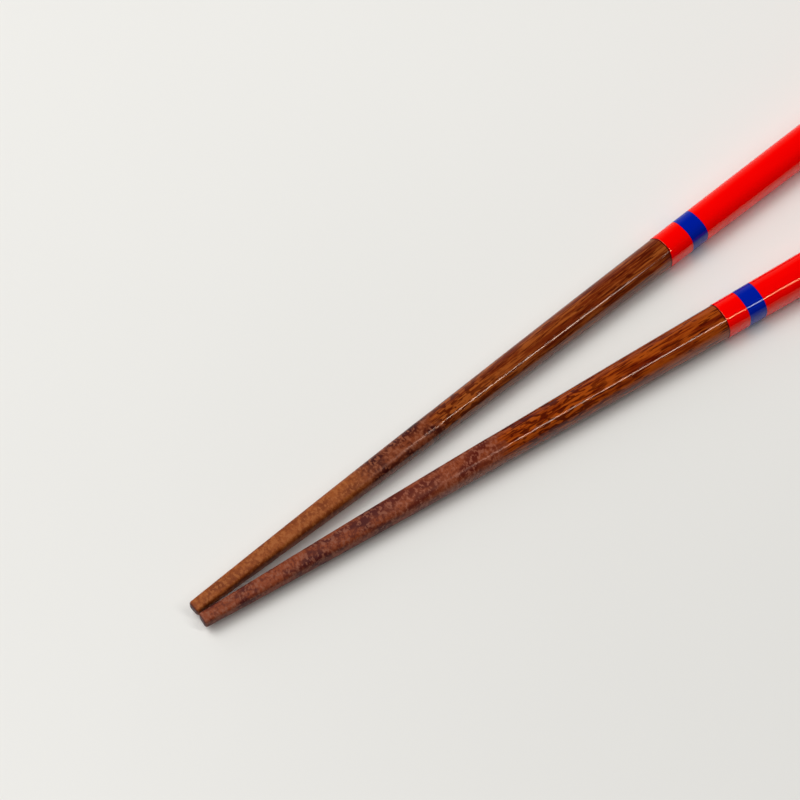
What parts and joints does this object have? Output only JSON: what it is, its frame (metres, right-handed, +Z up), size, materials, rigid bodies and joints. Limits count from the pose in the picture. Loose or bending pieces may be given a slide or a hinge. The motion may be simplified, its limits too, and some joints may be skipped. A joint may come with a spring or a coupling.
{
  "type": "pair of chopsticks",
  "caption": "Pair of tapered wooden chopsticks with glossy red lacquered handles, a blue band and gritty non-slip tips, lying with the tips together.",
  "frame": {"origin": "on the table under the middle of the pair", "axes": "+X along the middle of the pair from the tips to the butts, +Y towards the left stick, +Z up from the table"},
  "size_m": [0.2298, 0.0411, 0.0078],
  "materials": {
    "clear_lacquered_wood": "brown hardwood with short dark pores along the grain, under a glossy clear lacquer",
    "red_lacquer": "smooth high-gloss red lacquer with a slightly raised edge",
    "blue_lacquer": "smooth high-gloss blue paint, flush with the red lacquer",
    "gritty_tip_coat": "thin clear coat with fine grit, matte and stippled, with the brown wood showing through"
  },
  "bodies": {
    "root": {"left_stick": "clear_lacquered_wood", "left_handle_lacquer": "red_lacquer", "left_band": "blue_lacquer", "left_tip_coat": "gritty_tip_coat", "right_stick": "clear_lacquered_wood", "right_handle_lacquer": "red_lacquer", "right_band": "blue_lacquer", "right_tip_coat": "gritty_tip_coat"}
  },
  "joints": []
}
